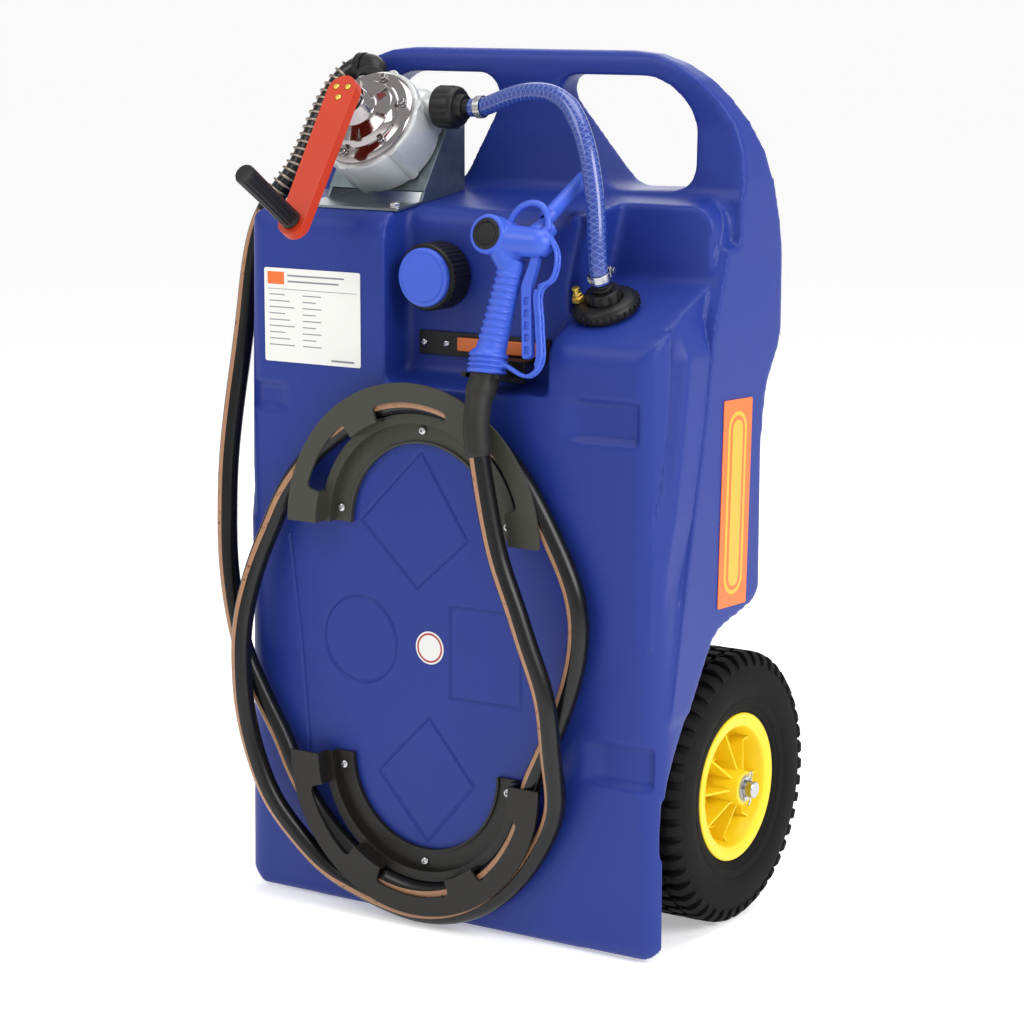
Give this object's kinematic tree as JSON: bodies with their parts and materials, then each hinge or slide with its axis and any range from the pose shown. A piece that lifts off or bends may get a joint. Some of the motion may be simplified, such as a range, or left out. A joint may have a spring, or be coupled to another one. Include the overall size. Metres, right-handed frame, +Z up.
{
  "type": "wheeled fluid transfer caddy",
  "caption": "Blow-moulded tank on two pneumatic wheels with a push handle, hand crank pump, coiled delivery hose and nozzle, for carrying and dispensing fluid.",
  "frame": {"origin": "on the floor, under the middle of the tank's width, on the flat bottom face of the tank", "axes": "+Z up; -Y is the front, where the hose hangs; +X is the right-hand side seen from the front, the suction fitting's side; the wheels' axle lies along X"},
  "size_m": [0.6399, 0.5598, 1.04],
  "materials": {
    "tank": "satin",
    "label": "matte",
    "sticker": "satin",
    "black_plastic": "satin",
    "light_blue_plastic": "satin",
    "rubber": "matte",
    "tyre": "matte",
    "delivery_hose": "smooth",
    "suction_hose": "glossy, translucent",
    "yellow_rim": "satin",
    "red_plastic": "satin",
    "orange_plastic": "satin",
    "chrome": "polished",
    "cast_aluminium": "cast",
    "zinc": "galvanised",
    "steel": "bright",
    "brass": "polished",
    "white_plastic": "satin"
  },
  "bodies": {
    "caddy": {"tank": "tank", "label_plate": "label", "side_sticker_left": "sticker", "side_sticker_right": "sticker", "hose_bracket_upper": "black_plastic", "hose_bracket_lower": "black_plastic", "bracket_screw_1": "steel", "bracket_screw_2": "steel", "bracket_screw_3": "steel", "bracket_screw_4": "steel", "bracket_screw_5": "steel", "bracket_screw_6": "steel", "filler_neck": "black_plastic", "suction_gasket": "rubber", "suction_flange": "black_plastic", "suction_tail": "black_plastic", "vent_valve": "brass", "suction_pipe": "black_plastic", "foot_strainer": "black_plastic", "suction_hose": "suction_hose", "suction_clamp_tank": "steel", "suction_clamp_pump": "steel", "pump_housing": "cast_aluminium", "pump_cover": "chrome", "shaft_bush": "brass", "outlet_elbow": "black_plastic", "inlet_union": "black_plastic", "pump_bracket": "zinc", "delivery_hose": "delivery_hose", "spring_guard": "steel", "nozzle_holder": "black_plastic", "holder_clip": "orange_plastic", "axle_washer_left": "steel", "axle_washer_right": "steel", "split_pin_left": "steel", "split_pin_right": "steel", "axle_strap_left": "zinc", "axle_strap_right": "zinc", "axle": "steel"},
    "wheel_left": {"tyre_left": "tyre", "rim_left": "yellow_rim", "hub_bush_left": "white_plastic"},
    "wheel_right": {"tyre_right": "tyre", "rim_right": "yellow_rim", "hub_bush_right": "white_plastic"},
    "crank": {"crank_arm": "red_plastic", "pump_shaft": "steel", "pump_rotor": "cast_aluminium", "rotor_vane_upper": "black_plastic", "rotor_vane_lower": "black_plastic", "crank_pin": "steel"},
    "crank_grip": {"crank_grip": "black_plastic"},
    "cap_gasket": {"filler_gasket": "rubber"},
    "filler_cap": {"filler_cap": "black_plastic", "filler_cap_disc": "light_blue_plastic"},
    "nozzle": {"nozzle_body": "light_blue_plastic", "nozzle_valve_cap": "black_plastic", "nozzle_spout": "light_blue_plastic", "hose_sleeve": "rubber"},
    "nozzle_trigger": {"nozzle_trigger": "light_blue_plastic"}
  },
  "joints": [
    {"name": "wheel_left_spin", "type": "hinge", "parent": "caddy", "child": "wheel_left", "pos_m": [-0.247, 0.05, 0.165], "axis": [1, 0, 0], "continuous": true},
    {"name": "wheel_right_spin", "type": "hinge", "parent": "caddy", "child": "wheel_right", "pos_m": [0.247, 0.05, 0.165], "axis": [1, 0, 0], "continuous": true},
    {"name": "crank_turn", "type": "hinge", "parent": "caddy", "child": "crank", "pos_m": [-0.145, -0.099, 0.957], "axis": [0, -0.829, 0.5592], "continuous": true},
    {"name": "crank_grip_spin", "type": "hinge", "parent": "crank", "child": "crank_grip", "pos_m": [-0.145, -0.19742, 0.81109], "axis": [0, -0.829, 0.5592], "continuous": true},
    {"name": "cap_gasket_slide", "type": "slide", "parent": "caddy", "child": "cap_gasket", "axis": [0, -1, 0], "range_m": [0, 0.0125]},
    {"name": "filler_cap_turn", "type": "hinge", "parent": "cap_gasket", "child": "filler_cap", "pos_m": [-0.029, -0.13, 0.779], "axis": [0, -1, 0], "range_deg": [0, 1080]},
    {"name": "nozzle_lift", "type": "slide", "parent": "caddy", "child": "nozzle", "axis": [0, 0, 1], "range_m": [0, 0.03]},
    {"name": "nozzle_trigger_pull", "type": "hinge", "parent": "nozzle", "child": "nozzle_trigger", "pos_m": [0.132, -0.1562, 0.81468], "axis": [0, 0.9763, -0.2164], "range_deg": [0, 7], "stiffness_Nm_per_rad": 2, "springref_deg": -17.19}
  ],
  "couplings": [
    {"joint": "cap_gasket_slide", "follows": "filler_cap_turn", "m_per_rad": 0.00063662}
  ]
}
